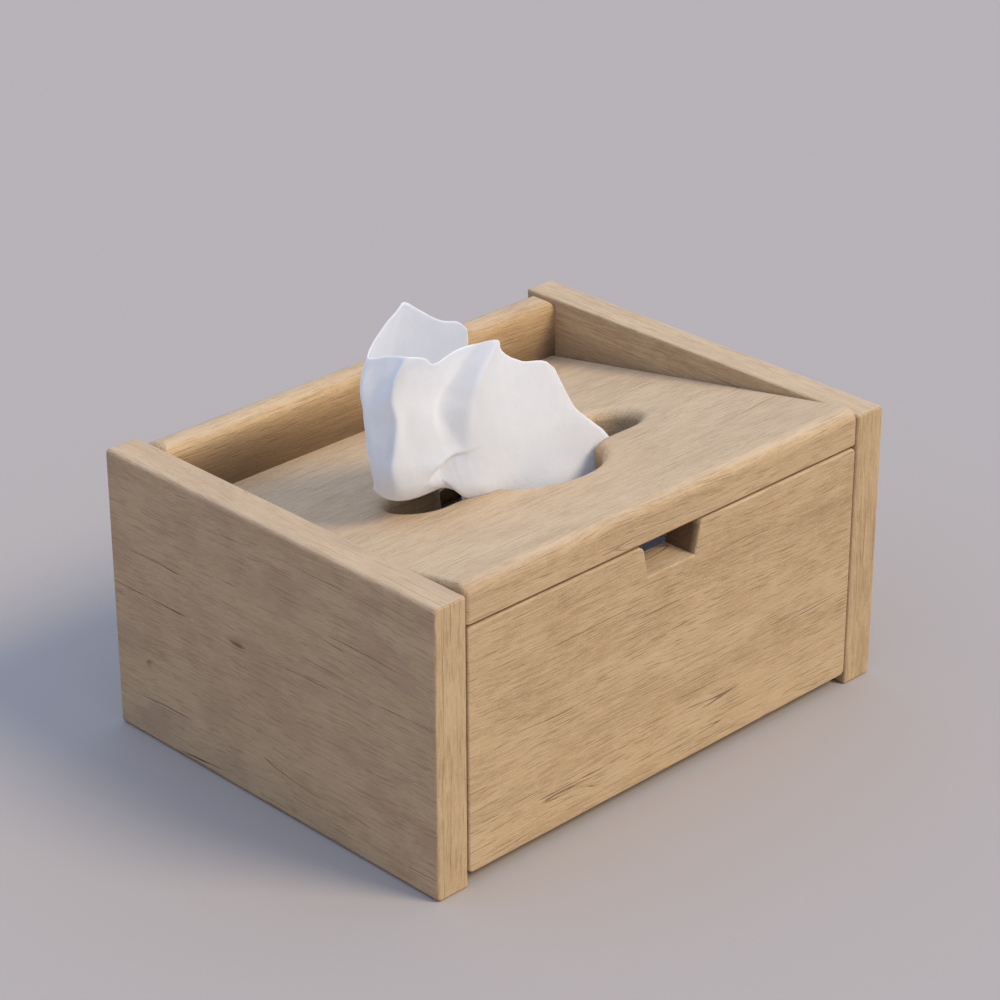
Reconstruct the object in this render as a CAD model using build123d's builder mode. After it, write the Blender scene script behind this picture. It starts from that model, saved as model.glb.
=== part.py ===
"""Napkin box: a small oak case with a sloping lid board, a slot for the napkins and a drawer that holds them.

Millimetres. The origin is on the table, under the middle of the case. +X runs to the case's right,
+Y to its back and +Z up, so the drawer opens towards -Y.
"""

import os
from math import cos, radians, sin, tan

from build123d import *

# Case
case_width = 220.0
case_depth = 166.0
side_height = 109.0
side_thickness = 14.0
side_bevel = 7.0
side_bevel_softening = 2.0
arris_radius = 1.0

# Sloping top board
top_front_rise = 3.5
top_slope = 10.0
top_thickness = 14.5
top_edge_radius = 4.5
top_end_radius = 2.0

# Slot in the top board
slot_from_front = 76.5
slot_length = 114.0
slot_width = 22.0
slot_bulge_radius = 24.0
slot_bulge_shift = 8.5
slot_shoulder_radius = 12.0
slot_rim_radius = 5.0

# Back board
back_thickness = 12.0
back_inset = 3.5
back_edge_radius = 5.0

# Base board
base_bottom = 7.0
base_thickness = 6.0
groove_depth = 5.0
groove_end_gap = 0.3

# Dowels of the case
case_dowel_diameter = 6.0
case_dowel_in_side = 9.0
case_dowel_in_board = 19.0
dowel_fit = 0.05
dowel_tip = 0.6
case_dowel_inset = 24.0

# Drawer front
front_thickness = 14.0
front_bottom = 4.8
front_side_gap = 0.5
front_top_gap = 1.0
front_corner_radius = 2.0
front_edge_radius = 0.8
front_stop_gap = 0.3

# Finger notch
notch_top_width = 28.0
notch_bottom_width = 23.0
notch_depth = 12.2
notch_mouth_radius = 3.0

# Drawer box
running_gap = 0.3
drawer_side_gap = 0.6
drawer_side_thickness = 8.0
drawer_side_height = 46.0
drawer_back_gap = 2.0
drawer_edge_radius = 1.0
drawer_bottom_thickness = 4.0
drawer_bottom_rise = 5.0
drawer_groove_depth = 4.0
drawer_groove_gap = 0.3
drawer_dowel_diameter = 4.0
drawer_dowel_in_front = 9.0
drawer_dowel_in_side = 15.0
drawer_pin_length = 20.0
drawer_dowel_inset = 7.5

# Napkins
stack_clearance = 7.3
stack_headroom = 4.7
stack_corner_radius = 3.0
stack_gap = 0.3
napkin_thickness = 2.4
napkin_rim_gap = 0.3
tail_above_drawer = 2.0

# The raised napkin's folds, seen from above at five heights over the middle of the slot: from the right
# end of its front leaf, round the fold on the left, to the right end of its rear leaf. The lowest level
# is the tail and the next one passes the slot, where the right end lies against the near rim. All of the
# napkin's tables are drawn for a slot 114 mm long, and grow with it.
tail_folds = [(37, -9.5), (20, -10), (2, -11), (-20, -9), (-40, -7), (-60, -6), (-64, 0), (-48, 5), (-10, 5)]
slot_folds = [(2, -13), (-22, -9), (-42, -6), (-62, -6), (-67, 2), (-50, 7), (-8, 7)]
raised_folds = {
    19: [(42, -12.6), (18, -12), (-10, -13), (-30, -8), (-46, -5), (-64, -6), (-70, 2), (-50, 12), (-10, 13)],
    41: [(40, -12), (10, -8), (-20, -12), (-35, -6), (-50, -6), (-65, -8), (-71, 1), (-49, 13), (-12, 12)],
    73: [(40, -10), (5, -5), (-22, -10), (-36, -5), (-50, -5), (-62, -6), (-60, 4), (-42, 12), (-10, 11)],
}
right_end_margin = 6.0
right_bend = 20.0

# Its outline seen from the front, as places along X and heights over the middle of the slot
front_leaf_edge = [
    (39, -1), (25, 12), (18, 19), (14, 26), (12, 32), (5, 39), (-5, 42), (-11, 45), (-17, 51), (-20, 54),
    (-32, 56), (-47, 54), (-51, 58), (-64, 61), (-68, 57),
]
rear_leaf_edge = [
    (-6, 4), (-9, 25), (-15, 43), (-13, 50), (-18, 55), (-25, 57), (-43, 70.5), (-51, 67), (-60, 60),
    (-68, 57),
]
under_fold_edge = [(-76, 50), (-76, 18), (-69, 12), (-63, 7), (-54, 4.5), (-39, 4), (-35, 1.6), (-30, -10)]
leaf_parting = 2.0

# Places worked out from the sizes above
front_y = -case_depth / 2
inner_width = case_width - 2 * side_thickness
slope_rise = tan(radians(top_slope))
top_front_height = side_height + top_front_rise
top_upright_thickness = top_thickness / cos(radians(top_slope))
back_y = -front_y - back_inset - back_thickness
top_length = (back_y - front_y) / cos(radians(top_slope))
base_top = base_bottom + base_thickness
front_width = inner_width - 2 * front_side_gap
front_top = top_front_height - top_upright_thickness - front_top_gap
drawer_bottom_z = base_top + running_gap
drawer_top_z = drawer_bottom_z + drawer_side_height
drawer_width = inner_width - 2 * drawer_side_gap
drawer_inner_width = drawer_width - 2 * drawer_side_thickness
drawer_front_y = front_y + front_thickness
drawer_back_y = back_y - drawer_back_gap
drawer_floor_z = drawer_bottom_z + drawer_bottom_rise + drawer_bottom_thickness
fold_scale = slot_length / 114.0
top_plane = Plane(
    origin=(0, front_y, top_front_height),
    x_dir=(1, 0, 0),
    z_dir=(0, sin(radians(top_slope)), cos(radians(top_slope))),
)


def top_surface_height(y):
    """Height of the top board's upper face at a place along Y."""
    return top_front_height - (y - front_y) * slope_rise


def grown(places):
    """The places of one of the napkin's tables, grown with the slot."""
    return [(x * fold_scale, y * fold_scale) for x, y in places]


def finish(part, name):
    """Name a finished piece and write it."""
    part.label = name
    export_step(part, f"parts/{name}.step")


def dowel(diameter, length):
    """A straight dowel along X, centred, with bevelled tips."""
    with BuildPart() as peg:
        with BuildSketch(Plane.YZ):
            Circle(diameter / 2)
        extrude(amount=length / 2, both=True)
        chamfer(peg.edges().filter_by(GeomType.CIRCLE), dowel_tip)
    return peg.part


# Where the case's dowels cross the inner face of a side panel, as places along Y and Z
top_dowel_places = []
for along in (case_dowel_inset, top_length - case_dowel_inset):
    middle = top_plane.from_local_coords((0, along, -top_thickness / 2))
    top_dowel_places.append((middle.Y, middle.Z))
back_dowel_places = [
    (back_y + back_thickness / 2, height)
    for height in (base_top + case_dowel_inset, side_height - case_dowel_inset)
]


def side_panel():
    """Left panel: a thick board on edge, with its long outer edges bevelled and softened."""
    outer_x = -case_width / 2
    inner_x = outer_x + side_thickness
    with BuildPart() as panel:
        with BuildSketch(Plane.XZ.offset(-front_y)):
            with Locations((outer_x + side_thickness / 2, side_height / 2)):
                Rectangle(side_thickness, side_height)
            outer_corners = vertices().group_by(Axis.X)[0]
            inner_corners = vertices().group_by(Axis.X)[-1]
            fillet(inner_corners, arris_radius)
            chamfer(outer_corners, side_bevel)
            bevel_corners = vertices().filter_by_position(Axis.X, outer_x - 1, outer_x + side_bevel + 0.1)
            fillet(bevel_corners, side_bevel_softening)
        extrude(amount=-case_depth)
        fillet(panel.edges().group_by(Axis.Y)[0], arris_radius)
        fillet(panel.edges().group_by(Axis.Y)[-1], arris_radius)
        with BuildSketch(Plane.YZ.offset(inner_x)):
            groove_start = drawer_front_y + front_stop_gap
            groove_end = back_y + back_thickness
            with Locations(((groove_start + groove_end) / 2, base_bottom + base_thickness / 2)):
                Rectangle(groove_end - groove_start, base_thickness)
        extrude(amount=-groove_depth, mode=Mode.SUBTRACT)
        with BuildSketch(Plane.YZ.offset(inner_x)):
            with Locations(*top_dowel_places, *back_dowel_places):
                Circle(case_dowel_diameter / 2 + dowel_fit)
        extrude(amount=-case_dowel_in_side, mode=Mode.SUBTRACT)
    return panel.part


def board_end_holes(places):
    """The blind dowel holes in both ends of a board that stands between the side panels."""
    with BuildPart() as drills:
        with BuildSketch(Plane.YZ.offset(inner_width / 2)):
            with Locations(*places):
                Circle(case_dowel_diameter / 2 + dowel_fit)
        extrude(amount=-case_dowel_in_board)
        mirror(about=Plane.YZ)
    return drills.part


def case_dowels(places):
    """The dowels of one board, at both of its ends."""
    peg = dowel(case_dowel_diameter, case_dowel_in_side + case_dowel_in_board)
    shift = (case_dowel_in_board - case_dowel_in_side) / 2
    pegs = []
    for end in (-1, 1):
        for y, z in places:
            pegs.append(Pos(end * (inner_width / 2 - shift), y, z) * peg)
    return Compound(pegs)


# Side panels
os.makedirs("parts", exist_ok=True)
left_side_panel = side_panel()
finish(left_side_panel, "left_side_panel")
finish(mirror(left_side_panel, about=Plane.YZ), "right_side_panel")

# Top board, let in between the side panels, with the slot for the napkins
top_end_holes = board_end_holes(top_dowel_places)
with BuildPart() as top_panel:
    with BuildSketch(Plane.YZ):
        with BuildLine():
            Polyline(
                (front_y, top_front_height),
                (front_y, top_front_height - top_upright_thickness),
                (back_y, top_surface_height(back_y) - top_upright_thickness),
                (back_y, top_surface_height(back_y)),
                close=True,
            )
        make_face()
    extrude(amount=inner_width / 2, both=True)
    upper_face = top_panel.faces().sort_by(Axis.Z)[-1]
    fillet(upper_face.edges().sort_by(Axis.Y)[0], top_edge_radius)
    upper_face = top_panel.faces().sort_by(Axis.Z)[-1]
    fillet(upper_face.edges().sort_by(Axis.Y)[1:-1], top_end_radius)
    front_face = top_panel.faces().sort_by(Axis.Y)[0]
    fillet(front_face.edges().sort_by(Axis.Z)[:3], arris_radius)
    with BuildSketch(top_plane):
        with Locations((0, slot_from_front)):
            SlotOverall(slot_length, slot_width)
        with Locations(
            (0, slot_from_front - slot_bulge_shift),
            (0, slot_from_front + slot_bulge_shift),
        ):
            Circle(slot_bulge_radius)
        shoulders = vertices().filter_by_position(Axis.X, -slot_bulge_radius - 1, slot_bulge_radius + 1)
        fillet(shoulders, slot_shoulder_radius)
    extrude(amount=2 * top_thickness, both=True, mode=Mode.SUBTRACT)
    for facing in (1, -1):
        skin = [f for f in top_panel.faces() if f.normal_at().dot(top_plane.z_dir) * facing > 0.999]
        rim = skin[0].inner_wires()[0].edges()
        fillet(rim, slot_rim_radius if facing > 0 else arris_radius)
    add(top_end_holes, mode=Mode.SUBTRACT)
finish(top_panel.part, "top_panel")
finish(case_dowels(top_dowel_places), "top_panel_dowels")

# Base board, held in grooves in the side panels, with the back board standing on it
with BuildPart() as base_board:
    base_front_y = drawer_front_y + front_stop_gap
    base_back_y = back_y + back_thickness
    with Locations((0, (base_front_y + base_back_y) / 2, base_bottom + base_thickness / 2)):
        Box(
            inner_width + 2 * (groove_depth - groove_end_gap),
            base_back_y - base_front_y,
            base_thickness,
        )
finish(base_board.part, "base_board")

# Back board
back_end_holes = board_end_holes(back_dowel_places)
with BuildPart() as back_panel:
    with Locations((0, back_y + back_thickness / 2, (base_top + side_height) / 2)):
        Box(inner_width, back_thickness, side_height - base_top)
    fillet(back_panel.faces().sort_by(Axis.Z)[-1].edges(), back_edge_radius)
    add(back_end_holes, mode=Mode.SUBTRACT)
finish(back_panel.part, "back_panel")
finish(case_dowels(back_dowel_places), "back_panel_dowels")

# Drawer sides and their joints, as places along Z
drawer_side_x = drawer_width / 2 - drawer_side_thickness / 2
drawer_joint_heights = [drawer_floor_z + drawer_dowel_inset, drawer_top_z - drawer_dowel_inset]
drawer_groove_z = drawer_bottom_z + drawer_bottom_rise + drawer_bottom_thickness / 2
drawer_back_middle_y = drawer_back_y - drawer_side_thickness / 2

# Drawer front, with the finger notch in its upper edge
with BuildPart() as drawer_front:
    front_height = front_top - front_bottom
    with BuildSketch(Plane.XZ.offset(-front_y)):
        with Locations((0, front_bottom + front_height / 2)):
            RectangleRounded(front_width, front_height, front_corner_radius)
        with BuildLine():
            Polyline(
                (-notch_top_width / 2, front_top),
                (-notch_bottom_width / 2, front_top - notch_depth),
                (notch_bottom_width / 2, front_top - notch_depth),
                (notch_top_width / 2, front_top),
                close=True,
            )
        make_face(mode=Mode.SUBTRACT)
        mouth = vertices().filter_by_position(Axis.Y, front_top - 0.1, front_top + 0.1).filter_by_position(
            Axis.X, -notch_top_width / 2 - 1, notch_top_width / 2 + 1
        )
        fillet(mouth, notch_mouth_radius)
    extrude(amount=-front_thickness)
    fillet(drawer_front.faces().sort_by(Axis.Y)[0].edges(), front_edge_radius)
    with BuildSketch(Plane.YZ):
        with BuildLine():
            Polyline(
                (front_y + front_edge_radius, front_top),
                (drawer_front_y, front_top - front_thickness * slope_rise),
                (drawer_front_y, front_top),
                close=True,
            )
        make_face()
    extrude(amount=front_width, both=True, mode=Mode.SUBTRACT)
    with BuildSketch(Plane.XZ.offset(-drawer_front_y)):
        with Locations(
            *[(side * drawer_side_x, height) for side in (-1, 1) for height in drawer_joint_heights]
        ):
            Circle(drawer_dowel_diameter / 2 + dowel_fit)
    extrude(amount=drawer_dowel_in_front, mode=Mode.SUBTRACT)
    with BuildSketch(Plane.XZ.offset(-drawer_front_y)):
        with Locations((0, drawer_groove_z)):
            Rectangle(drawer_inner_width + 2 * drawer_groove_depth, drawer_bottom_thickness)
    extrude(amount=drawer_groove_depth, mode=Mode.SUBTRACT)
finish(drawer_front.part, "drawer_front")


def drawer_side():
    """Left drawer side: grooved for the drawer bottom, drilled for dowels and for the back's pins."""
    outer_x = -drawer_width / 2
    inner_x = outer_x + drawer_side_thickness
    length = drawer_back_y - drawer_front_y
    middle_y = (drawer_back_y + drawer_front_y) / 2
    with BuildPart() as side:
        with Locations((-drawer_side_x, middle_y, drawer_bottom_z + drawer_side_height / 2)):
            Box(drawer_side_thickness, length, drawer_side_height)
        fillet(side.edges().filter_by(Axis.Y).group_by(Axis.Z)[-1], drawer_edge_radius)
        with BuildSketch(Plane.YZ.offset(inner_x)):
            with Locations((middle_y, drawer_groove_z)):
                Rectangle(length, drawer_bottom_thickness)
        extrude(amount=-drawer_groove_depth, mode=Mode.SUBTRACT)
        with BuildSketch(Plane.XZ.offset(-drawer_front_y)):
            with Locations(*[(-drawer_side_x, height) for height in drawer_joint_heights]):
                Circle(drawer_dowel_diameter / 2 + dowel_fit)
        extrude(amount=-drawer_dowel_in_side, mode=Mode.SUBTRACT)
        with BuildSketch(Plane.YZ.offset(outer_x)):
            with Locations(*[(drawer_back_middle_y, height) for height in drawer_joint_heights]):
                Circle(drawer_dowel_diameter / 2 + dowel_fit)
        extrude(amount=drawer_side_thickness, mode=Mode.SUBTRACT)
    return side.part


drawer_left_side = drawer_side()
finish(drawer_left_side, "drawer_left_side")
finish(mirror(drawer_left_side, about=Plane.YZ), "drawer_right_side")

# Drawer bottom, a thin panel slid into the grooves from behind, under the drawer back
with BuildPart() as drawer_bottom:
    panel_width = drawer_inner_width + 2 * (drawer_groove_depth - drawer_groove_gap)
    panel_front_y = drawer_front_y - drawer_groove_depth + drawer_groove_gap
    with Locations((0, (panel_front_y + drawer_back_y) / 2, drawer_groove_z)):
        Box(panel_width, drawer_back_y - panel_front_y, drawer_bottom_thickness)
finish(drawer_bottom.part, "drawer_bottom")

# Drawer back, between the drawer sides, standing on the drawer bottom
with BuildPart() as drawer_back:
    back_height = drawer_top_z - drawer_floor_z
    with Locations((0, drawer_back_middle_y, drawer_floor_z + back_height / 2)):
        Box(drawer_inner_width, drawer_side_thickness, back_height)
    fillet(drawer_back.edges().filter_by(Axis.X).group_by(Axis.Z)[-1], drawer_edge_radius)
    for end in (-1, 1):
        with BuildSketch(Plane.YZ.offset(end * drawer_inner_width / 2)):
            with Locations(*[(drawer_back_middle_y, height) for height in drawer_joint_heights]):
                Circle(drawer_dowel_diameter / 2 + dowel_fit)
        extrude(amount=-end * (drawer_pin_length - drawer_side_thickness), mode=Mode.SUBTRACT)
finish(drawer_back.part, "drawer_back")

# Dowels of the drawer: along Y into the front, and along X as pins through the sides into the back
front_peg = Rot(0, 0, 90) * dowel(drawer_dowel_diameter, drawer_dowel_in_front + drawer_dowel_in_side)
front_peg_y = drawer_front_y + (drawer_dowel_in_side - drawer_dowel_in_front) / 2
back_pin = dowel(drawer_dowel_diameter, drawer_pin_length)
back_pin_x = drawer_width / 2 - drawer_pin_length / 2
front_pegs = []
back_pins = []
for end in (-1, 1):
    for height in drawer_joint_heights:
        front_pegs.append(Pos(end * drawer_side_x, front_peg_y, height) * front_peg)
        back_pins.append(Pos(end * back_pin_x, drawer_back_middle_y, height) * back_pin)
finish(Compound(front_pegs), "drawer_front_dowels")
finish(Compound(back_pins), "drawer_back_pins")

# Stack of folded napkins lying in the drawer
with BuildPart() as napkin_stack:
    drawer_back_inner_y = drawer_back_y - drawer_side_thickness
    stack_y = (drawer_front_y + drawer_back_inner_y) / 2
    stack_bottom_z = drawer_floor_z + stack_gap
    stack_height = drawer_top_z - stack_headroom - stack_bottom_z
    with Locations((0, stack_y, stack_bottom_z + stack_height / 2)):
        Box(
            drawer_inner_width - 2 * stack_clearance,
            drawer_back_inner_y - drawer_front_y - 2 * stack_clearance,
            stack_height,
        )
    fillet(napkin_stack.edges().filter_by(Axis.Z), stack_corner_radius)
    fillet(napkin_stack.faces().sort_by(Axis.Z)[-1].edges(), stack_corner_radius)
finish(napkin_stack.part, "napkin_stack")


def fold_outline(middle_line):
    """The closed outline of a thin leaf, its thickness laid half to each side of a middle line."""
    points = [Vector(x, y) for x, y in middle_line]
    outer = []
    inner = []
    for index, point in enumerate(points):
        before = points[max(index - 1, 0)]
        after = points[min(index + 1, len(points) - 1)]
        into = (point - before).normalized() if index else (after - point).normalized()
        out_of = (after - point).normalized() if after != point else into
        across = Vector(-into.Y - out_of.Y, into.X + out_of.X).normalized()
        reach = napkin_thickness / 2 / across.dot(Vector(-into.Y, into.X))
        outer.append(point + across * reach)
        inner.append(point - across * reach)
    return outer + inner[::-1]


# Napkin drawn up through the slot: its front leaf, the fold on its left and its rear leaf. Its right end
# lies against the near rim of the slot, and its tail ends above the drawer.
slot_middle_y = front_y + slot_from_front * cos(radians(top_slope))
slot_middle_z = top_surface_height(slot_middle_y)
tail_height = drawer_top_z + tail_above_drawer - slot_middle_z
rim_y = -slot_width / 2 * cos(radians(top_slope)) - slot_rim_radius * sin(radians(top_slope))
seat_y = rim_y + napkin_rim_gap + napkin_thickness / 2
right_end = (slot_length - slot_width) / 2 - right_end_margin
fold_levels = {
    tail_height: grown(tail_folds),
    0: [(right_end, seat_y), (right_bend, seat_y), *grown(slot_folds)],
    **{height * fold_scale: grown(folds) for height, folds in raised_folds.items()},
}

# What its outline leaves of the front leaf and of the rear leaf
with BuildPart() as leaf_outlines:
    parting_y = slot_middle_y + leaf_parting
    under_edge = grown(under_fold_edge)
    for edge, near_y in ((front_leaf_edge, parting_y - case_depth), (rear_leaf_edge, parting_y)):
        with BuildSketch(Plane(origin=(0, near_y, slot_middle_z), x_dir=(1, 0, 0), z_dir=(0, -1, 0))):
            with BuildLine():
                outline = [*grown(edge), *under_edge]
                Polyline((outline[0][0], tail_height), *outline, (outline[-1][0], tail_height), close=True)
            make_face()
        extrude(amount=-case_depth)

with BuildPart() as raised_napkin:
    for height, middle_line in fold_levels.items():
        with BuildSketch(Plane(origin=(0, slot_middle_y, slot_middle_z + height))):
            with BuildLine():
                Polyline(*fold_outline(middle_line), close=True)
            make_face()
    loft()
    add(leaf_outlines.part, mode=Mode.INTERSECT)
finish(raised_napkin.part, "raised_napkin")
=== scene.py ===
"""Napkin box in pale oak: the looks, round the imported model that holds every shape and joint.

Everything is in metres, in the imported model's own frame: the origin is on the table under the middle of
the case, +X runs to the case's right, +Y to its back and +Z up.
"""

import math

import bpy
import numpy as np
from mathutils import Matrix, Vector, noise


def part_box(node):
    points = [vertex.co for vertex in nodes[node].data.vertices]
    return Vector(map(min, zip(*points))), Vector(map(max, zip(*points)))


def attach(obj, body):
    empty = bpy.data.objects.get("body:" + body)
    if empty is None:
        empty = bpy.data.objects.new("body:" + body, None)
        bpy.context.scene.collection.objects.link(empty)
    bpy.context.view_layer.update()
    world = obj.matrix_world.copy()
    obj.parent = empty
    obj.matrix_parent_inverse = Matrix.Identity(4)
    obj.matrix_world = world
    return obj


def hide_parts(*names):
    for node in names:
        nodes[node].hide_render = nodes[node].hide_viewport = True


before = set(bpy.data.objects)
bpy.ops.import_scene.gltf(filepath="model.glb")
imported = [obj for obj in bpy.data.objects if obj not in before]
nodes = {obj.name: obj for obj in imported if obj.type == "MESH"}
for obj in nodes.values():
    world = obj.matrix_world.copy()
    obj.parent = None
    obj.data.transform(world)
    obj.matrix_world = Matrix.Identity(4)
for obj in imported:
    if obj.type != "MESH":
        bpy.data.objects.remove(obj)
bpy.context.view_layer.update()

# Side panels
# Two planks of pale oak on edge, sawn, planed and left matt. Their long outer edges are bevelled and worn
# soft, and their ends show the grain upright. The oak of every other board is the same, with its own cut.
MM = 0.001
OAK_SHADOW = (0.354, 0.219, 0.114)
OAK_DARK = (0.478, 0.319, 0.169)
OAK_MIDDLE = (0.605, 0.424, 0.236)
OAK_PALE = (0.690, 0.508, 0.306)
OAK_CRACK = (0.13, 0.07, 0.035)
OAK_WEATHERED = (0.440, 0.290, 0.180)
# The next tint, for faces that look up, is partly bleaching by wiping and partly painted light from above
OAK_BLEACH_AND_TOP_LIGHT = (1.017, 1.054, 1.152)
# Painted shade colours: the first darkens the foot of the tray's corner, the second the cut faces inside
# hollows
OAK_CORNER_SHADE = (0.10, 0.058, 0.03)
OAK_HOLLOW_SHADE = (0.13, 0.07, 0.036)
OAK_GOLD = (1.0, 0.86, 0.62)

# Features of the oak to the metre, along the grain and twice across it
WANDER = (9.0, 26.0, 26.0)
BANDS = (4.0, 42.0, 42.0)
STREAKS = (30.0, 800.0, 800.0)
FIBRES = (170.0, 2600.0, 2600.0)
CLOUDS = (55.0, 90.0, 90.0)
SPECKLE = (1300.0, 1300.0, 1300.0)
PATCHES = (34.0, 58.0, 58.0)
PORES = (75.0, 1500.0, 1500.0)
CRACK_LINES = (3.0, 190.0, 190.0)
CRACK_PLACES = (30.0, 110.0, 110.0)
wander_depth = 9 * MM
worn_all_over = 0.45
worn_in_patches = 0.55
pore_depth = 0.42
bump_depth = 0.9 * MM
bump_strength = 0.55


def link(tree, a, b):
    """Join one socket to another."""
    tree.links.new(a, b)


def new_material(name):
    """A material with one plain surface shader, and the tree that holds it."""
    material = bpy.data.materials.new(name)
    material.use_nodes = True
    return material, material.node_tree, material.node_tree.nodes["Principled BSDF"]


def value_of(tree, operation, *inputs):
    """A sum, product or other simple function of sockets and numbers."""
    made = tree.nodes.new("ShaderNodeMath")
    made.operation = operation
    for place, item in enumerate(inputs):
        if isinstance(item, (int, float)):
            made.inputs[place].default_value = item
        else:
            link(tree, item, made.inputs[place])
    return made.outputs[0]


def between(tree, item, low, high):
    """0 where a value is under low, 1 where it is over high, and a soft step from one to the other."""
    made = tree.nodes.new("ShaderNodeMapRange")
    made.interpolation_type = "SMOOTHSTEP"
    made.inputs["From Min"].default_value = low
    made.inputs["From Max"].default_value = high
    link(tree, item, made.inputs["Value"])
    return made.outputs["Result"]


def stretched_noise(tree, place, per_metre, detail, roughness=0.5):
    """Noise with its own number of features to the metre along the grain and across it."""
    stretch = tree.nodes.new("ShaderNodeVectorMath")
    stretch.operation = "MULTIPLY"
    stretch.inputs[1].default_value = per_metre
    link(tree, place, stretch.inputs[0])
    made = tree.nodes.new("ShaderNodeTexNoise")
    made.inputs["Scale"].default_value = 1.0
    made.inputs["Detail"].default_value = detail
    made.inputs["Roughness"].default_value = roughness
    link(tree, stretch.outputs[0], made.inputs["Vector"])
    return made.outputs["Fac"]


def rest_of(tree, item):
    """One minus a share."""
    return value_of(tree, "SUBTRACT", 1.0, item)


def painted(tree, share, under, over):
    """One colour over another, by a share."""
    made = tree.nodes.new("ShaderNodeMix")
    made.data_type = "RGBA"
    link(tree, share, made.inputs["Factor"])
    for socket, colour in ((made.inputs["A"], under), (made.inputs["B"], over)):
        if isinstance(colour, tuple):
            socket.default_value = (*colour, 1.0)
        else:
            link(tree, colour, socket)
    return made.outputs["Result"]


def tinted(tree, share, colour, tint):
    """A colour multiplied by a tint, by a share."""
    made = tree.nodes.new("ShaderNodeMix")
    made.data_type = "RGBA"
    made.blend_type = "MULTIPLY"
    made.inputs["B"].default_value = (*tint, 1.0)
    link(tree, colour, made.inputs["A"])
    if isinstance(share, float):
        made.inputs["Factor"].default_value = share
    else:
        link(tree, share, made.inputs["Factor"])
    return made.outputs["Result"]


def laid_along(tree, place, turn, cut):
    """The places in a board, turned so that its grain lies along X, in its own part of the log."""
    made = tree.nodes.new("ShaderNodeMapping")
    made.inputs["Rotation"].default_value = [math.radians(angle) for angle in turn]
    made.inputs["Location"].default_value = cut
    link(tree, place, made.inputs["Vector"])
    return made.outputs["Vector"]


def bumped(tree, shader, height, strength, depth):
    """Raise and sink a surface by a height."""
    bump = tree.nodes.new("ShaderNodeBump")
    bump.inputs["Strength"].default_value = strength
    bump.inputs["Distance"].default_value = depth
    link(tree, height, bump.inputs["Height"])
    link(tree, bump.outputs["Normal"], shader.inputs["Normal"])


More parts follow.
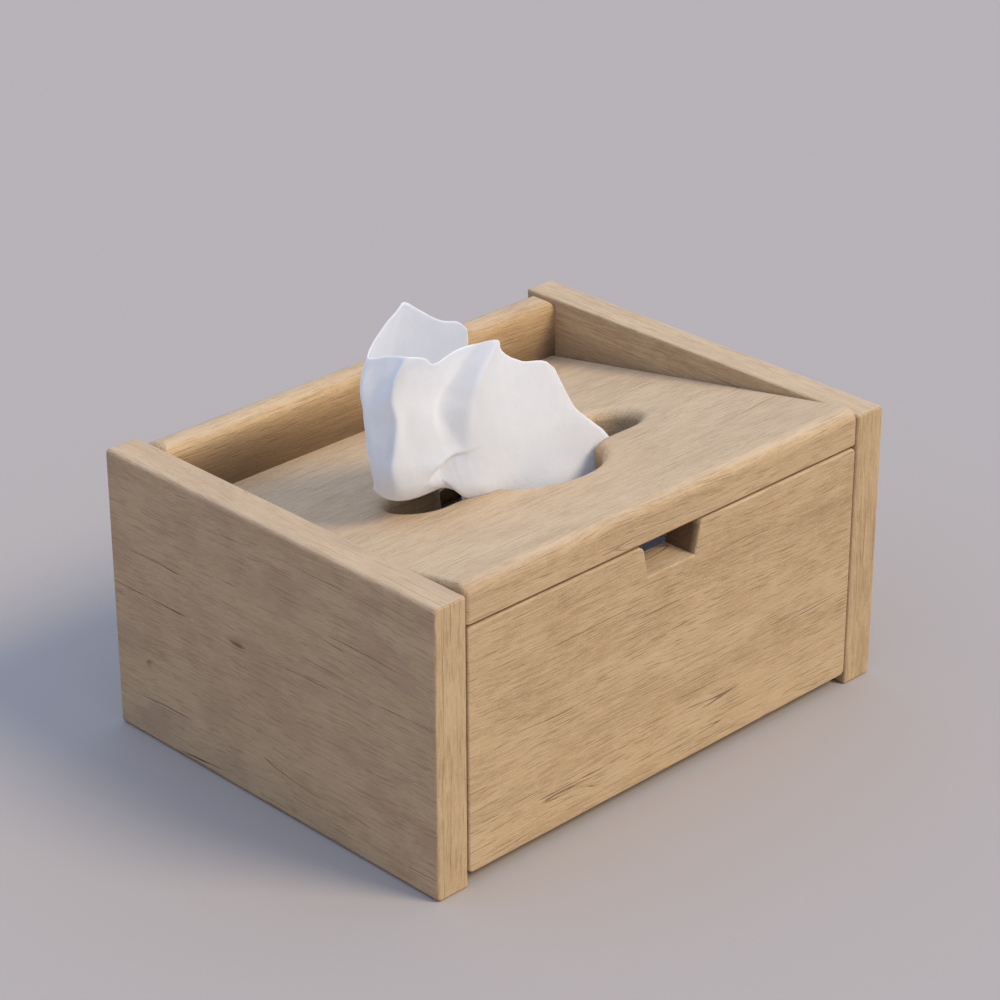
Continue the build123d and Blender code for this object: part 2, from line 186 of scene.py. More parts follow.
def oak(name, grain_turn, cut, end_turn=None, gold=0.0, weather=0.5, cracks=0.5, corner=None,
        shade_box=None, shade_strength=0.8):
    """Matt oak. grain_turn turns the board so that its grain lies along X, cut is the part of the log that
    it came from, and end_turn is grain_turn for the faces that look along Y. corner holds two heights: the
    faces that look to the front get uneven painted shade below the first one and none above the second. The
    next keyword holds the corners of a box and its softness, in which the cut faces get painted shade by
    the share that the last keyword gives."""
    material, tree, shader = new_material(name)
    place = tree.nodes.new("ShaderNodeTexCoord")
    along = laid_along(tree, place.outputs["Object"], grain_turn, cut)
    facing = tree.nodes.new("ShaderNodeSeparateXYZ")
    link(tree, place.outputs["Normal"], facing.inputs["Vector"])
    if end_turn is not None:
        is_end = between(tree, value_of(tree, "ABSOLUTE", facing.outputs["Y"]), 0.6, 0.8)
        chosen = tree.nodes.new("ShaderNodeMix")
        chosen.data_type = "VECTOR"
        link(tree, is_end, chosen.inputs["Factor"])
        link(tree, along, chosen.inputs["A"])
        link(tree, laid_along(tree, place.outputs["Object"], end_turn, cut), chosen.inputs["B"])
        along = chosen.outputs["Result"]

    # The grain wanders a millimetre or two across the board
    wander = stretched_noise(tree, along, WANDER, detail=2.0)
    shift = value_of(tree, "MULTIPLY", value_of(tree, "SUBTRACT", wander, 0.5), wander_depth)
    shifted = tree.nodes.new("ShaderNodeCombineXYZ")
    link(tree, shift, shifted.inputs["Y"])
    link(tree, shift, shifted.inputs["Z"])
    grain = tree.nodes.new("ShaderNodeVectorMath")
    link(tree, along, grain.inputs[0])
    link(tree, shifted.outputs[0], grain.inputs[1])
    grain = grain.outputs[0]

    # Light and dark follow the year's growth, its fibres and the unevenness of handled wood
    bands = stretched_noise(tree, grain, BANDS, detail=3.0, roughness=0.6)
    streaks = stretched_noise(tree, grain, STREAKS, detail=3.0, roughness=0.7)
    fibres = stretched_noise(tree, grain, FIBRES, detail=2.0, roughness=0.7)
    clouds = stretched_noise(tree, along, CLOUDS, detail=6.0, roughness=0.75)
    speckle = stretched_noise(tree, along, SPECKLE, detail=1.0)
    tone = value_of(tree, "MULTIPLY", bands, 0.30)
    for pattern, share in ((streaks, 0.26), (fibres, 0.26), (clouds, 0.34), (speckle, 0.12)):
        tone = value_of(tree, "MULTIPLY_ADD", pattern, share, tone)
    tone = value_of(tree, "ADD", tone, -0.10)
    ramp = tree.nodes.new("ShaderNodeValToRGB")
    stops = ramp.color_ramp.elements
    stops[0].position = 0.33
    stops[0].color = (*OAK_SHADOW, 1.0)
    stops[1].position = 0.76
    stops[1].color = (*OAK_PALE, 1.0)
    for position, colour in ((0.46, OAK_DARK), (0.57, OAK_MIDDLE)):
        stop = stops.new(position)
        stop.color = (*colour, 1.0)
    link(tree, tone, ramp.inputs["Fac"])
    colour = ramp.outputs["Color"]
    if gold:
        colour = tinted(tree, gold, colour, OAK_GOLD)

    # Weathered patches, pores as short dark ticks, and long fine cracks that come and go
    patches = between(tree, stretched_noise(tree, along, PATCHES, detail=5.0), 0.47, 0.66)
    weathered = value_of(
        tree, "MULTIPLY_ADD", patches, worn_in_patches * weather, worn_all_over * weather
    )
    if end_turn is not None:
        weathered = value_of(tree, "MULTIPLY", weathered, value_of(tree, "MULTIPLY_ADD", is_end, -0.7, 1.0))
    colour = painted(tree, weathered, colour, OAK_WEATHERED)
    ticks = between(tree, stretched_noise(tree, grain, PORES, detail=1.0), 0.58, 0.70)
    colour = painted(tree, value_of(tree, "MULTIPLY", ticks, pore_depth), colour, OAK_SHADOW)
    level = value_of(tree, "SUBTRACT", stretched_noise(tree, grain, CRACK_LINES, detail=0.0), 0.5)
    lines = rest_of(tree, between(tree, value_of(tree, "ABSOLUTE", level), 0.001, 0.009))
    where = between(tree, stretched_noise(tree, along, CRACK_PLACES, detail=3.0), 0.50, 0.64)
    split = value_of(tree, "MULTIPLY", lines, where)
    colour = painted(tree, value_of(tree, "MULTIPLY", split, cracks), colour, OAK_CRACK)

    # Faces that look up are paler and bluer, as far as their worn edges: partly bleached by wiping, partly
    # painted light from above
    uneven = value_of(tree, "SUBTRACT", clouds, 0.5)
    upward = value_of(tree, "MULTIPLY_ADD", uneven, 0.9, facing.outputs["Z"])
    wiped_and_lit_from_above = between(tree, upward, 0.62, 0.90)
    colour = painted(tree, value_of(tree, "MULTIPLY", wiped_and_lit_from_above, 0.3), colour, OAK_MIDDLE)
    colour = tinted(tree, wiped_and_lit_from_above, colour, OAK_BLEACH_AND_TOP_LIGHT)

    # Painted shade darkens the cut faces inside a given box, and darkens the faces that look to the front
    # towards the foot of the tray's corner
    spot = tree.nodes.new("ShaderNodeSeparateXYZ")
    link(tree, place.outputs["Object"], spot.inputs["Vector"])
    if shade_box is not None:
        share = 1.0
        for axis, low, high, soft in zip("XYZ", *shade_box):
            inside = between(tree, spot.outputs[axis], low - soft, low + soft)
            past = between(tree, spot.outputs[axis], high - soft, high + soft)
            share = value_of(tree, "MULTIPLY", share, inside)
            share = value_of(tree, "MULTIPLY", share, rest_of(tree, past))
        cut_face = rest_of(tree, between(tree, facing.outputs["Z"], 0.25, 0.6))
        share = value_of(tree, "MULTIPLY", share, cut_face)
        colour = painted(tree, value_of(tree, "MULTIPLY", share, shade_strength), colour, OAK_HOLLOW_SHADE)
    # Painted shade: faces that look to the front get darker towards the bottom, unevenly
    if corner is not None:
        corner_shade = rest_of(tree, between(tree, spot.outputs["Z"], *corner))
        corner_shade = value_of(tree, "MULTIPLY", corner_shade, value_of(tree, "MULTIPLY_ADD", clouds, 0.6, 0.45))
        to_rear = between(tree, facing.outputs["Y"], -0.8, -0.3)
        corner_shade = value_of(tree, "MULTIPLY", corner_shade, rest_of(tree, to_rear))
        colour = painted(tree, corner_shade, colour, OAK_CORNER_SHADE)
    link(tree, colour, shader.inputs["Base Color"])

    height = value_of(tree, "MULTIPLY", streaks, 0.5)
    for pattern, share in ((fibres, 0.25), (clouds, 0.5), (ticks, -0.25), (split, -0.7)):
        height = value_of(tree, "MULTIPLY_ADD", pattern, share, height)
    bumped(tree, shader, height, bump_strength, bump_depth)
    dull = value_of(tree, "MULTIPLY_ADD", streaks, -0.2, 0.78)
    link(tree, dull, shader.inputs["Roughness"])
    shader.inputs["Specular IOR Level"].default_value = 0.3
    return material


def finish_node(name, material):
    """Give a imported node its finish, in every slot that it has."""
    mesh = nodes[name].data
    if not mesh.materials:
        mesh.materials.append(material)
    for slot in range(len(mesh.materials)):
        mesh.materials[slot] = material


GRAIN_ALONG_Y = (0.0, 0.0, -90.0)
GRAIN_UPRIGHT = (0.0, 90.0, 0.0)
GRAIN_ALONG_X = (0.0, 0.0, 0.0)
# The tray's corner against the right panel is darkened with painted shade
tray_corner_shade_box = ((0.092, 0.010, 0.080), (0.098, 0.070, 0.097), (0.001, 0.020, 0.004))
# The left panel is weathered more than the right: partly its own greyer mottling, partly painted shade that
# darkens the side away from the lamp
finish_node("left_side_panel", oak(
    "oak_left_side", GRAIN_ALONG_Y, (0.31, 0.2, 0.47), end_turn=GRAIN_UPRIGHT,
    weather=0.8, cracks=0.9,
))
finish_node("right_side_panel", oak(
    "oak_right_side", GRAIN_ALONG_Y, (1.73, 0.64, 0.15), end_turn=GRAIN_UPRIGHT,
    weather=0.25, cracks=0.4, shade_box=tray_corner_shade_box, shade_strength=0.35,
))

# Top board
# A plank let in between the sides, sloping down to the back and doweled at its ends. Its upper face is
# paler and bluer than its front edge, partly bleached by wiping and partly painted light from above; the
# cut faces of the slot's walls are darkened with painted shade, and the slot's rim is rounded by hand.
slot_shade_box = ((-0.030, -0.044, 0.080), (0.062, 0.030, 0.1115), (0.006, 0.001, 0.001))
finish_node("top_panel", oak(
    "oak_top", GRAIN_ALONG_X, (2.4, 0.9, 1.1), weather=0.25, cracks=0.2,
    shade_box=slot_shade_box, shade_strength=0.35,
))

# Back board and base board
# The back board stands behind the top board and closes the tray. It is a yellower plank with long checks.
# The base board is a thin plank in grooves, which the drawer slides on.
# Painted shade darkens the back board's inner face: over its left part, where the napkin's shadow falls,
# and towards its foot in the tray's corner
napkin_shadow_box = ((-0.130, 0.050, 0.080), (-0.015, 0.069, 0.103), (0.035, 0.002, 0.006))
back_shade_heights = (87 * MM, 106 * MM)
finish_node("back_panel", oak(
    "oak_back", GRAIN_ALONG_X, (3.1, 1.7, 0.35), gold=0.3, weather=0.15, cracks=0.8,
    corner=back_shade_heights, shade_box=napkin_shadow_box, shade_strength=0.6,
))
finish_node("base_board", oak(
    "oak_base", GRAIN_ALONG_X, (4.6, 0.3, 2.2), gold=0.2, weather=0.3, cracks=0.4
))

# Dowels
# Straight pegs of turned oak, glued in blind holes through the boards' ends.
peg_oak = oak("oak_pegs", GRAIN_ALONG_X, (5.2, 1.3, 0.7), weather=0.1, cracks=0.2)
for peg_node in ("top_panel_dowels", "back_panel_dowels", "drawer_front_dowels", "drawer_back_pins"):
    finish_node(peg_node, peg_oak)

# Drawer
# A plain front the full width between the sides, with a finger notch in its upper edge, on a box of thin
# oak boards. The drawer bottom is a thin panel in grooves.
# The cut faces inside the finger notch are darkened with painted shade
notch_shade_box = ((-0.0155, -0.081, 0.083), (0.0155, -0.066, 0.100), (0.0008, 0.0015, 0.0008))
finish_node("drawer_front", oak(
    "oak_drawer_front", GRAIN_ALONG_X, (0.8, 2.6, 1.9), weather=0.15, cracks=0.7, shade_box=notch_shade_box
))
side_oak = oak(
    "oak_drawer_sides", GRAIN_ALONG_Y, (6.3, 0.5, 1.4), end_turn=GRAIN_UPRIGHT, weather=0.1, cracks=0.3
)
finish_node("drawer_left_side", side_oak)
finish_node("drawer_right_side", side_oak)
finish_node("drawer_back", oak(
    "oak_drawer_back", GRAIN_ALONG_X, (7.1, 0.2, 0.9), weather=0.1, cracks=0.3
))
finish_node("drawer_bottom", oak(
    "oak_drawer_floor", GRAIN_ALONG_X, (8.2, 1.2, 0.1), gold=0.2, weather=0.1
))


# Stack of napkins
# Thirteen white napkins lie in the drawer. Each is a square of soft paper, folded in three across and then
# once over, so that six plies lie on each other.
PAPER_DIM = (0.80, 0.797, 0.797)
PAPER_WHITE = (0.84, 0.832, 0.822)
EMBOSS = (900.0, 900.0, 900.0)
PAPER_CLOUDS = (70.0, 70.0, 70.0)
emboss_strength = 0.25
emboss_depth = 0.3 * MM
glow_depth = 3 * MM
stack_low, stack_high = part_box("napkin_stack")
napkin_count = 13
ply = 0.22 * MM
air_between = 0.3 * MM
lying_lift = 0.2 * MM
edge_room = 1.5 * MM
ripple = 0.12 * MM
stray = 1.0 * MM
stray_turn = 0.5
steps_across = 9
steps_along = 17
napkin_pitch = (stack_high.z - stack_low.z) / napkin_count
layer_gap = (napkin_pitch - air_between) / 6
folded_length = stack_high.x - stack_low.x - edge_room
folded_width = stack_high.y - stack_low.y - edge_room


def paper(name):
    """Soft white paper with a fine emboss."""
    material, tree, shader = new_material(name)
    place = tree.nodes.new("ShaderNodeTexCoord")
    fine = stretched_noise(tree, place.outputs["Object"], EMBOSS, detail=3.0)
    soft = stretched_noise(tree, place.outputs["Object"], PAPER_CLOUDS, detail=3.0)
    link(tree, painted(tree, soft, PAPER_DIM, PAPER_WHITE), shader.inputs["Base Color"])
    height = value_of(tree, "MULTIPLY_ADD", soft, 1.5, fine)
    bumped(tree, shader, height, emboss_strength, emboss_depth)
    shader.inputs["Roughness"].default_value = 0.9
    shader.inputs["Specular IOR Level"].default_value = 0.2
    shader.inputs["Sheen Weight"].default_value = 0.15
    shader.inputs["Subsurface Weight"].default_value = 1.0
    shader.inputs["Subsurface Radius"].default_value = (1.0, 1.0, 1.0)
    shader.inputs["Subsurface Scale"].default_value = glow_depth
    return material


def sheet_mesh(name, rows, material):
    """A mesh of quads from rows of points, each row as long as the others."""
    height = len(rows)
    width = len(rows[0])
    points = [tuple(point) for row in rows for point in row]
    faces = []
    for j in range(height - 1):
        for i in range(width - 1):
            corner = j * width + i
            faces.append((corner, corner + 1, corner + width + 1, corner + width))
    mesh = bpy.data.meshes.new(name)
    mesh.from_pydata(points, [], faces)
    mesh.materials.append(material)
    mesh.polygons.foreach_set("use_smooth", [True] * len(mesh.polygons))
    made = bpy.data.objects.new(name, mesh)
    bpy.context.scene.collection.objects.link(made)
    return made


def thicken(piece, thickness):
    """Give a sheet its thickness, half to each side, and leave a plain mesh."""
    solid = piece.modifiers.new("thickness", "SOLIDIFY")
    solid.thickness = thickness
    solid.offset = 0.0
    solid.use_even_offset = True
    bpy.context.view_layer.update()
    mesh = bpy.data.meshes.new_from_object(piece.evaluated_get(bpy.context.evaluated_depsgraph_get()))
    piece.modifiers.clear()
    piece.data = mesh
    return piece


def thirds_path(width, gap):
    """The section of a strip folded in three: places across it, and heights over what it lies on."""
    path = []
    radius = gap / 2
    for layer in range(3):
        direction = 1 if layer % 2 == 0 else -1
        for share in np.linspace(0.02, 0.98, steps_across):
            across = (share - 0.5) * (width - 2 * radius) * direction
            path.append((across, layer * gap))
        if layer < 2:
            for turn in (45, 90, 135):
                reach = (width / 2 - radius) + radius * math.sin(math.radians(turn))
                rise = radius * (1 - math.cos(math.radians(turn)))
                path.append((reach * direction, layer * gap + rise))
    return path


def folded_napkin(name, floor, turn, shift):
    """One folded napkin: the strip of three plies, bent over itself at one end."""
    half = folded_length / 2
    section = thirds_path(folded_width, layer_gap)
    hinge = 2.5 * layer_gap
    along = np.linspace(0.0, 1.0, steps_along)
    rows = []
    for across, rise in section:
        reach = hinge - rise
        row = []
        straight = [half - share * (folded_length - hinge) for share in along]
        row.extend((place, across, rise) for place in straight)
        for bend in (30, 60, 90, 120, 150):
            angle = math.radians(bend)
            bent = -half + hinge - reach * math.sin(angle)
            row.append((bent, across, hinge - reach * math.cos(angle)))
        row.extend((place, across, 2 * hinge - rise) for place in reversed(straight))
        rows.append(row)
    spin = Matrix.Rotation(turn, 3, "Z")
    middle = Vector(((stack_low.x + stack_high.x) / 2, (stack_low.y + stack_high.y) / 2, floor))
    placed = []
    for row in rows:
        new_row = []
        for point in row:
            lifted = Vector(point)
            lifted.z += ripple * noise.noise(Vector((point[0] * 60, point[1] * 60, floor * 900)))
            new_row.append(spin @ lifted + middle + shift)
        placed.append(new_row)
    return thicken(sheet_mesh(name, placed, napkin_paper), ply)


napkin_paper = paper("napkin_paper")
for number in range(napkin_count):
    lean = noise.noise(Vector((number * 3.7, 1.3, 0.0)))
    sideways = noise.noise(Vector((number * 2.3, 7.1, 0.0)))
    lengthways = noise.noise(Vector((4.4, number * 1.9, 0.0)))
    napkin = folded_napkin(
        f"folded_napkin_{number + 1:02d}",
        stack_low.z + number * napkin_pitch + lying_lift,
        math.radians(stray_turn * lean),
        Vector((sideways, lengthways, 0.0)) * stray,
    )
    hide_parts("napkin_stack")
    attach(napkin, "drawer")

# Raised napkin
# The uppermost napkin, drawn up through the slot for the hand. It is gathered where it passes the slot,
# and stands up in a front leaf and a rear leaf, joined on the left. Each line below is one fold of it, as
# places in millimetres from its tail in the drawer to its upper edge.
fold_lines = {
    "right_hem": [
        (38, -15.5, 62), (38.5, -16.8, 84), (38.2, -17.6, 96), (33.5, -18.2, 102.6), (30.1, -18.4, 105.8),
        (25.8, -18.6, 109.6), (22.9, -18.4, 112.4), (18.8, -18, 116.7), (16.4, -17.4, 120.7),
        (13.7, -17, 126), (10.7, -16, 133.3),
    ],
    "right_corner": [
        (24, -17.5, 62), (24, -19.5, 82), (20, -21.4, 92.5), (14.8, -20.6, 101.8), (12, -20.4, 106.6),
        (9.6, -20.2, 111.1), (8.5, -19.8, 115.2), (6.9, -18.9, 121.2), (6, -18.3, 125.4),
        (4.6, -17.7, 130.2), (5.2, -16.8, 137.6),
    ],
    "front_right": [
        (9, -18.5, 62), (7, -22, 82), (3, -25, 93), (-4.1, -24.6, 103.4), (-6.5, -24, 108.9),
        (-8.3, -23.4, 114.3), (-8.5, -22.6, 118.6), (-9.3, -21.4, 125.3), (-8.8, -20.4, 129.3),
        (-8.3, -19.4, 133.7), (-5.7, -17.8, 141.4),
    ],
    "beside_ridge": [
        (-5, -18.5, 62), (-7, -22, 82), (-12, -25.6, 94), (-19.1, -26, 105.5), (-20.9, -25.4, 110.5),
        (-22.7, -24.8, 115.8), (-22.6, -24.2, 120.8), (-22.5, -23.2, 128.3), (-20.8, -22.4, 132.7),
        (-18.8, -21.4, 137.7), (-14.8, -19.2, 146.7),
    ],
    "ridge_right": [
        (-14, -17, 62), (-16.5, -20, 82), (-20.5, -24, 94.5), (-30.5, -26.4, 105.4), (-31.8, -25.8, 110.9),
        (-33.8, -25, 116.5), (-34.9, -24.2, 122.6), (-34.9, -23.8, 133.6), (-31.4, -23.2, 139.3),
        (-27.6, -22.4, 144.8), (-19.8, -20.2, 151.1),
    ],
    "ridge": [
        (-17, -16.5, 62), (-19.5, -18.6, 82), (-25, -23, 95.5), (-35.3, -26, 106.3), (-36.1, -25.4, 111.8),
        (-37.2, -24.6, 117.2), (-38, -23.6, 123.8), (-37.4, -23.6, 134.7), (-34.4, -23.4, 140.7),
        (-30.8, -22.8, 146), (-21.3, -20.6, 154.8),
    ],
    "valley": [
        (-21, -15.5, 62), (-24.5, -16.8, 84), (-31, -20.5, 96.5), (-41.4, -24, 106), (-42.6, -24.4, 113),
        (-42.7, -23.6, 118), (-42.3, -20.8, 124.3), (-44.3, -17.2, 134.9), (-40.9, -15.6, 139.5),
        (-35.9, -15.8, 144.3), (-27.5, -16.4, 154.1),
    ],
    "beside_valley": [
        (-23, -13.5, 62), (-26.5, -15, 86), (-34.5, -18, 99.5), (-49, -22.8, 112.9), (-48.2, -23, 116.2),
        (-48.3, -22.6, 118.4), (-48.6, -20.6, 124.5), (-50.2, -18.6, 135.8), (-47.2, -17, 141.3),
        (-43.4, -16.9, 146.2), (-37.8, -17.4, 154.5),
    ],
    "belly": [
        (-23.5, -11.5, 62), (-26.5, -13.2, 87), (-33, -15.2, 100.4), (-55.4, -22.3, 112.9),
        (-54.8, -22.4, 115.3), (-56.3, -22.4, 119.5), (-57.2, -21, 126), (-56.7, -19.2, 137),
        (-54.1, -17.6, 144.4), (-52.7, -18.1, 151.3), (-48.9, -18.7, 153.8),
    ],
    "belly_left": [
        (-23.5, -9, 62), (-24.5, -10.5, 88), (-27.5, -12.5, 101.5), (-58.5, -19.6, 108.9),
        (-61.8, -21.8, 114.2), (-64.5, -22.4, 121.2), (-64, -21.3, 127.6), (-62.2, -19.3, 138.1),
        (-60.2, -18.3, 146.2), (-59.3, -19, 154.2), (-53.9, -19.8, 158),
    ],
    "front_left_fold": [
        (-22.5, -6.5, 62), (-22.5, -7.5, 88), (-26, -9.2, 102), (-64, -17.6, 108.6), (-68.4, -20.8, 114.9),
        (-71.3, -21.8, 123.7), (-69.2, -21.4, 130.2), (-67.2, -20.2, 139.6), (-68.6, -19.4, 147.8),
        (-66.5, -19.8, 155), (-62.2, -20.8, 161.4),
    ],
    "wall_front": [
        (-22, -5.3, 62), (-22, -6.2, 88), (-25.5, -7.6, 102.2), (-64.8, -14, 107.9), (-69.6, -18, 114.4),
        (-71.5, -19.2, 122.1), (-69.8, -18.8, 128.7), (-67.8, -17.6, 137.9), (-68.5, -16.6, 146.1),
        (-65, -15.2, 152.1), (-63.1, -17.4, 160.9),
    ],
    "left_wall": [
        (-21.5, -4.2, 62), (-21.5, -5, 88), (-25, -6, 102.3), (-65.2, -10.8, 107.9), (-69.9, -14.8, 114.3),
        (-71.9, -16, 120.4), (-71, -15.4, 127.6), (-69.4, -13.9, 136.4), (-69.1, -12.6, 143.9),
        (-65.7, -10.8, 149.5), (-63.7, -13.2, 159.8),
    ],
    "leftmost": [
        (-20.5, -2, 62), (-20.3, -2.8, 88), (-24.5, -3.2, 102.5), (-64.7, -7.2, 108), (-69.1, -11, 113.6),
        (-71.4, -12.2, 120), (-71.9, -11.6, 125.5), (-71.6, -10.4, 133.1), (-71.2, -9, 140.5),
        (-70.5, -7.2, 148.4), (-66.1, -6, 157.8),
    ],
    "left_inside": [
        (-19.3, -0.2, 62), (-19, -0.8, 88), (-24, -0.4, 102.5), (-60.7, -2.6, 106.3), (-62.8, -4, 112.4),
        (-63.7, -4.2, 118.4), (-64.3, -4, 124.1), (-64.8, -3.6, 132.6), (-65.7, -3.4, 141.3),
        (-67, -3.8, 149.8), (-54.9, 1, 161.1),
    ],
    "left_rear": [
        (-18, 1.4, 62), (-17.5, 1.2, 88), (-23.5, 2.2, 102), (-54.2, 1, 107), (-55.4, 1, 112.7),
        (-56.4, 1, 118.3), (-57.3, 1.2, 124.1), (-51.8, 5.5, 133.9), (-50.6, 5.2, 141.2),
        (-48.3, 4.2, 149.4), (-44.4, 2.8, 166.2),
    ],
    "rear_crease": [
        (-16, 2.8, 62), (-15.5, 2.8, 87), (-21.5, 4.4, 101), (-47, 5, 108), (-50.1, 5.3, 114.4),
        (-51, 5.5, 121), (-51, 5.5, 126.6), (-49.7, 7, 134.1), (-48, 6.4, 141.4), (-44.9, 5.2, 149.3),
        (-41.8, 3.4, 167.2),
    ],
    "rear_left": [
        (-13.5, 3.6, 62), (-13.2, 4, 86), (-17, 5.6, 99), (-34, 7, 109), (-35.8, 7.1, 115.6), (-36, 7, 122),
        (-36, 7, 127.6), (-36.9, 6, 136.5), (-36.1, 5.2, 143.2), (-34.9, 4.4, 150.2), (-33.9, 2.8, 161.8),
    ],
    "rear_middle": [
        (-11, 4.2, 62), (-10.8, 4.8, 85), (-12.5, 6.4, 98), (-23, 7.8, 110), (-24, 8, 116.2), (-24, 8, 122),
        (-24, 7.8, 126.8), (-27.5, 4, 136.1), (-26.7, 3.2, 141.7), (-25.8, 2.6, 147.3), (-26, 1.8, 156.4),
    ],
    "rear_right": [
        (-8, 4.8, 62), (-8, 5.4, 84), (-8.6, 7, 97), (-14, 8, 110), (-14.8, 8.1, 116.4), (-15, 8, 122),
        (-15.2, 7.8, 126.4), (-20.7, 2.2, 136.5), (-20.7, 1.2, 141.2), (-20, 0.8, 146.4),
        (-19.9, 0.4, 154.7),
    ],
    "rear_hem": [
        (-5, 5.2, 62), (-5, 5.8, 84), (-5.2, 7.2, 97), (-8, 7.5, 110), (-8.9, 7.6, 115.9), (-9.5, 7.5, 121),
        (-10.1, 6.9, 125.4), (-15.1, 1.6, 134.8), (-16.1, 0, 140.1), (-15.6, -0.4, 145.1),
        (-16.4, -0.6, 151.6),
    ],
}
steps_up = 14
steps_round = 10
tuck_before = -10.0
tuck_sharpness = 0.4
tuck_depth = 0.7
tuck_reach = 8.0
lip_depth = 0.3
lip_reach = 4.0
crumple_seed = 7
crumple_from = 104.0
crumple_over = 10.0
tuck_line = [
    (-32.2, 121, 0), (-38.3, 119.8, 1), (-43.4, 119.9, 3.2), (-47.1, 119, 4.2), (-49.9, 117.8, 4),
    (-52.2, 116.4, 2), (-55, 114, 0),
]
leaf_thickness = 0.45 * MM


def smooth_line(points, steps):
    """A smooth line through points, with so many steps from each to the next."""
    points = [np.array(point, float) for point in points]
    points = [2 * points[0] - points[1], *points, 2 * points[-1] - points[-2]]
    line = []
    for start in range(len(points) - 3):
        a, b, c, d = points[start:start + 4]
        knots = [0.0]
        for near, far in ((a, b), (b, c), (c, d)):
            knots.append(knots[-1] + max(np.linalg.norm(far - near), 1e-9) ** 0.5)
        for t in np.linspace(knots[1], knots[2], steps, endpoint=False):
            ab = a + (b - a) * (t - knots[0]) / (knots[1] - knots[0])
            bc = b + (c - b) * (t - knots[1]) / (knots[2] - knots[1])
            cd = c + (d - c) * (t - knots[2]) / (knots[3] - knots[2])
            abc = ab + (bc - ab) * (t - knots[0]) / (knots[2] - knots[0])
            bcd = bc + (cd - bc) * (t - knots[1]) / (knots[3] - knots[1])
            line.append(abc + (bcd - abc) * (t - knots[1]) / (knots[2] - knots[1]))
    line.append(points[-2])
    return line


def pinched(point):
    """A place in the leaf, moved for the short bent tuck in which the valley ends: the cloth above its
    line hangs a little over the cloth below it. The line is places across and up, and its depth there."""
    if point[1] > tuck_before:
        return point
    nearest = None
    for (x, z, depth), (next_x, next_z, next_depth) in zip(tuck_line, tuck_line[1:]):
        run, rise = next_x - x, next_z - z
        across, up = point[0] - x, point[2] - z
        share = (across * run + up * rise) / (run ** 2 + rise ** 2)
        share = min(1.0, max(0.0, share))
        distance = math.hypot(across - run * share, up - rise * share)
        side = 1 if across * rise - up * run > 0 else -1
        if nearest is None or distance < nearest[0]:
            nearest = (distance, side * distance, depth + (next_depth - depth) * share)
    distance, height, depth = nearest
    below = 1 / (1 + math.exp(min(50, height / tuck_sharpness)))
    inward = below * tuck_depth * math.exp(-((distance / tuck_reach) ** 2))
    outward = (1 - below) * lip_depth * math.exp(-((distance / lip_reach) ** 2))
    return point + np.array((0.0, depth * (inward - outward), 0.0))


def crumpled(point):
    """A place in the cloth with the faint unevenness of soft paper."""
    broad = noise.noise_vector(Vector(point) * 0.055) * 0.5
    fine = noise.noise_vector(Vector(point) * 0.19) * 0.16
    strength = min(1.0, max(0.0, (point[2] - crumple_from) / crumple_over))
    return point + np.array(broad + fine) * strength


noise.seed_set(crumple_seed)
folds_up = [smooth_line(line, steps_up) for line in fold_lines.values()]
napkin_rows = []
for level in zip(*folds_up):
    row = [crumpled(pinched(point)) for point in smooth_line(level, steps_round)]
    napkin_rows.append([tuple(point * MM) for point in row])
raised_napkin = thicken(sheet_mesh("napkin_drawn_up", napkin_rows, napkin_paper), leaf_thickness)
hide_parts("raised_napkin")
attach(raised_napkin, "napkin")

# Studio
# A pale grey floor without an edge, one soft warm lamp from the front right, and a cool soft sky.
FLOOR_COLOUR = (0.43, 0.382, 0.350)
BACKDROP_COLOUR = (0.464, 0.445, 0.483)
LAMP_COLOUR = (1.0, 0.85, 0.61)
SKY_COLOUR = (0.25, 0.26, 0.30)
OVERHEAD_COLOUR = (0.48, 0.65, 1.0)
lamp_strength = 2.2
overhead_strength = 2.35
overhead_spread = 130.0
lamp_spread = 22.0
towards_lamp = Vector((50.0, -100.0, 109.0)).normalized()
floor_reach = 8.0

floor_mesh = bpy.data.meshes.new("floor")
floor_mesh.from_pydata(
    [(-floor_reach, -floor_reach, 0), (floor_reach, -floor_reach, 0), (floor_reach, floor_reach, 0),
     (-floor_reach, floor_reach, 0)],
    [], [(0, 1, 2, 3)],
)
floor = bpy.data.objects.new("floor", floor_mesh)
bpy.context.scene.collection.objects.link(floor)
floor_finish, floor_tree, floor_shader = new_material("floor_finish")
floor_shader.inputs["Base Color"].default_value = (*FLOOR_COLOUR, 1.0)
floor_shader.inputs["Roughness"].default_value = 0.9
floor_shader.inputs["Specular IOR Level"].default_value = 0.1
floor_mesh.materials.append(floor_finish)


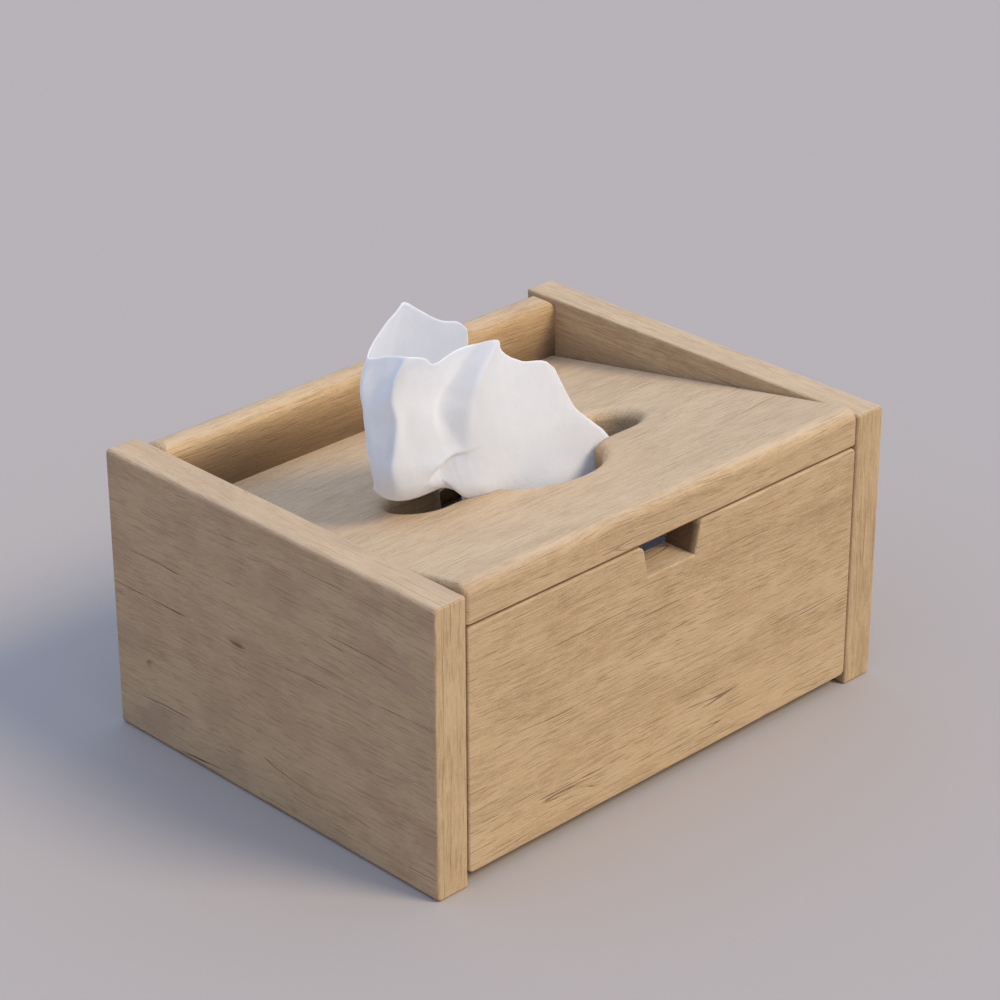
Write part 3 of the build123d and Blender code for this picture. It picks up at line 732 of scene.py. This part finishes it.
def distant_lamp(name, strength, colour, spread):
    """A lamp far off, whose light falls straight down until it is turned."""
    data = bpy.data.lights.new(name, "SUN")
    data.energy = strength
    data.color = colour
    data.angle = math.radians(spread)
    made = bpy.data.objects.new(name, data)
    bpy.context.scene.collection.objects.link(made)
    return made


lamp = distant_lamp("lamp", lamp_strength, LAMP_COLOUR, lamp_spread)
lamp.rotation_euler = towards_lamp.to_track_quat("Z", "Y").to_euler()
distant_lamp("overhead", overhead_strength, OVERHEAD_COLOUR, overhead_spread)

world = bpy.data.worlds.new("studio")
world.use_nodes = True
bpy.context.scene.world = world
around = world.node_tree
sky = around.nodes["Background"]
sky.inputs["Color"].default_value = (*SKY_COLOUR, 1.0)
backdrop = around.nodes.new("ShaderNodeBackground")
backdrop.inputs["Color"].default_value = (*BACKDROP_COLOUR, 1.0)
ray = around.nodes.new("ShaderNodeLightPath")
seen = value_of(around, "MAXIMUM", ray.outputs["Is Camera Ray"], ray.outputs["Is Glossy Ray"])
seen = value_of(around, "MAXIMUM", seen, ray.outputs["Is Transmission Ray"])
both = around.nodes.new("ShaderNodeMixShader")
link(around, seen, both.inputs["Fac"])
link(around, sky.outputs[0], both.inputs[1])
link(around, backdrop.outputs[0], both.inputs[2])
link(around, both.outputs[0], around.nodes["World Output"].inputs["Surface"])

# Camera
# It stands a little over a metre off, to the front left of the box, and looks down on it.
camera_place = (-0.6996, -0.7157, 0.5748)
camera_azimuth = 44.35
camera_elevation = 26.30
camera_roll = -0.14
focal_length = 113.2
camera_data = bpy.data.cameras.new("camera")
camera_data.lens = focal_length
camera_data.sensor_width = 36.0
camera = bpy.data.objects.new("camera", camera_data)
bpy.context.scene.collection.objects.link(camera)
aim = Matrix.Rotation(math.radians(-camera_azimuth), 4, "Z")
aim = aim @ Matrix.Rotation(math.radians(90 - camera_elevation), 4, "X")
aim = aim @ Matrix.Rotation(math.radians(camera_roll), 4, "Z")
camera.matrix_world = Matrix.Translation(camera_place) @ aim
bpy.context.scene.camera = camera
bpy.context.scene.view_settings.view_transform = "Standard"
